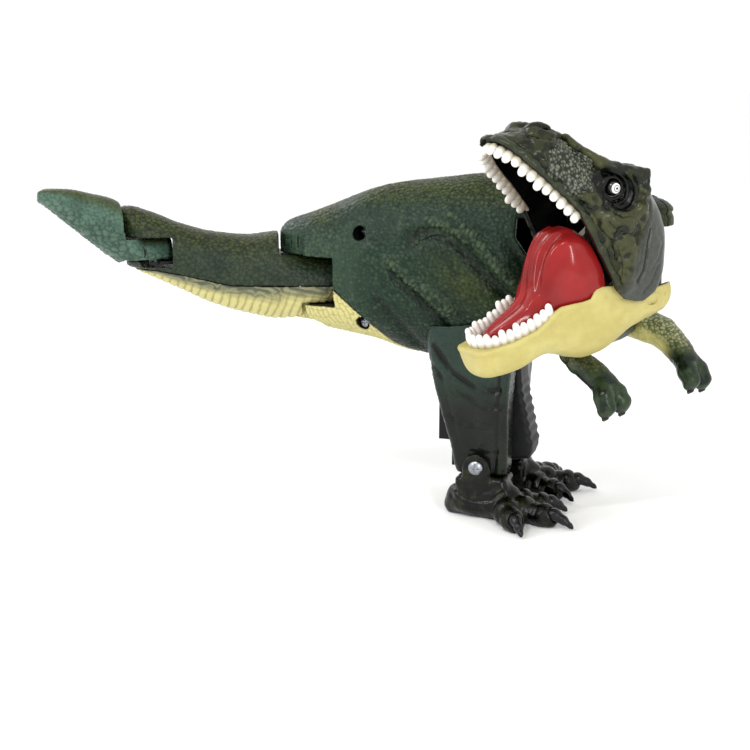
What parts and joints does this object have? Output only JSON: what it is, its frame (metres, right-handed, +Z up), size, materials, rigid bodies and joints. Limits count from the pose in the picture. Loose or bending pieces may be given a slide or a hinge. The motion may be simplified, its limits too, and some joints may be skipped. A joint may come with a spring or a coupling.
{
  "type": "toy dinosaur",
  "caption": "Hand-held toy dinosaur with a grip and trigger in its legs; squeezing turns the head, opens the toothed mouth and bends the jointed tail.",
  "frame": {"origin": "on the sole plane, midway between the two ankles", "axes": "+X forward along the body, +Y to the animal's left, +Z up; rest pose is the trigger squeezed"},
  "size_m": [0.282, 0.1304, 0.1684],
  "materials": {
    "green_shell": "satin moulded, dry-brushed",
    "dark_green_shell": "satin moulded",
    "olive_shell": "satin moulded, dry-brushed",
    "cream_shell": "satin moulded",
    "white_part": "gloss",
    "red_part": "high gloss",
    "black_part": "satin moulded",
    "nylon": "natural moulded",
    "steel": "bright"
  },
  "bodies": {
    "body": {"trunk_shell_left": "green_shell", "trunk_shell_right": "green_shell", "belly_plate": "cream_shell", "trunk_screw_upper": "steel", "trunk_screw_lower": "steel", "leg_shell_left": "dark_green_shell", "leg_shell_right": "dark_green_shell", "foot_left": "dark_green_shell", "foot_right": "dark_green_shell", "ankle_screw_left": "steel", "ankle_screw_right": "steel", "grip_core": "black_part", "trigger_pin": "steel", "trigger_spring": "steel", "drive_guide": "black_part", "neck_sun_gear": "nylon", "tail_pin": "steel"},
    "trigger": {"trigger_lever": "black_part", "trigger_sector": "nylon"},
    "drive_bar": {"drive_bar": "nylon"},
    "neck": {"neck_shell_left": "olive_shell", "neck_shell_right": "olive_shell", "neck_shaft": "steel", "neck_gear": "nylon", "chest_shell": "cream_shell", "arm_left": "dark_green_shell", "arm_right": "dark_green_shell", "head_pin": "steel"},
    "neck_rack": {"neck_rack": "nylon"},
    "head_yoke": {"head_yoke": "black_part", "yoke_pinion": "nylon", "skull_pin": "steel", "jaw_pin": "steel"},
    "jaw_rack": {"jaw_rack": "nylon"},
    "skull": {"skull_shell": "olive_shell", "upper_teeth": "white_part", "eye_left": "white_part", "eye_right": "white_part", "skull_sector": "nylon"},
    "jaw": {"lower_jaw": "cream_shell", "lower_teeth": "white_part", "tongue_lining": "red_part", "jaw_sector": "nylon"},
    "tail_middle": {"tail_mid_upper": "green_shell", "tail_mid_lower": "cream_shell", "tail_gear": "nylon", "tail_tip_pin": "steel"},
    "tail_end": {"tail_tip": "green_shell"},
    "link": {"tail_link": "nylon"}
  },
  "joints": [
    {"name": "head_yaw", "type": "hinge", "parent": "neck", "child": "head_yoke", "pos_m": [0.06703, -0.01908, 0.12], "axis": [0, 0, 1], "range_deg": [0, 104]},
    {"name": "trigger_pull", "type": "hinge", "parent": "body", "child": "trigger", "pos_m": [0.006, 0, 0.077], "axis": [0, 1, 0], "range_deg": [-14.24, 0], "stiffness_Nm_per_rad": 0.2, "springref_deg": -20.05},
    {"name": "drive_slide", "type": "slide", "parent": "body", "child": "drive_bar", "axis": [1, 0, 0], "range_m": [-0.00505, 0]},
    {"name": "neck_yaw", "type": "hinge", "parent": "body", "child": "neck", "pos_m": [0.0365, 0, 0.11], "axis": [0, 0, 1], "range_deg": [0, 32.02]},
    {"name": "neck_rack_slide", "type": "slide", "parent": "neck", "child": "neck_rack", "axis": [0.848, -0.5299, 0], "range_m": [0, 0.00456]},
    {"name": "jaw_rack_slide", "type": "slide", "parent": "head_yoke", "child": "jaw_rack", "axis": [-0.7193, -0.6947, 0], "range_m": [-0.00637, 0]},
    {"name": "skull_pitch", "type": "hinge", "parent": "head_yoke", "child": "skull", "pos_m": [0.05264, -0.03297, 0.13], "axis": [0.6947, -0.7193, 0], "range_deg": [0, 30.35]},
    {"name": "jaw_pitch", "type": "hinge", "parent": "head_yoke", "child": "jaw", "pos_m": [0.06199, -0.02394, 0.102], "axis": [0.6947, -0.7193, 0], "range_deg": [-28.02, 0]},
    {"name": "tail_yaw", "type": "hinge", "parent": "body", "child": "tail_middle", "pos_m": [-0.08, 0, 0.1], "axis": [0, 0, 1], "range_deg": [-24.02, 0]},
    {"name": "tail_tip_yaw", "type": "hinge", "parent": "tail_middle", "child": "tail_end", "pos_m": [-0.14852, -0.03051, 0.11], "axis": [0, 0, 1], "range_deg": [-16.02, 0]},
    {"name": "tail_link_turn", "type": "hinge", "parent": "tail_end", "child": "link", "pos_m": [-0.14312, -0.03694, 0.1055], "axis": [0, 0, 1], "range_deg": [0, 16.61]}
  ],
  "couplings": [
    {"joint": "trigger_pull", "follows": "head_yaw", "ratio": -0.13675},
    {"joint": "drive_slide", "follows": "head_yaw", "m_per_rad": -0.0027692},
    {"joint": "neck_yaw", "follows": "head_yaw", "ratio": 0.30769},
    {"joint": "neck_rack_slide", "follows": "head_yaw", "m_per_rad": 0.0025},
    {"joint": "jaw_rack_slide", "follows": "head_yaw", "m_per_rad": -0.0035},
    {"joint": "skull_pitch", "follows": "head_yaw", "ratio": 0.29167},
    {"joint": "jaw_pitch", "follows": "head_yaw", "ratio": -0.26923},
    {"joint": "tail_yaw", "follows": "head_yaw", "ratio": -0.23077},
    {"joint": "tail_tip_yaw", "follows": "head_yaw", "ratio": -0.15385},
    {"joint": "tail_link_turn", "follows": "head_yaw", "ratio": 0.15955}
  ]
}
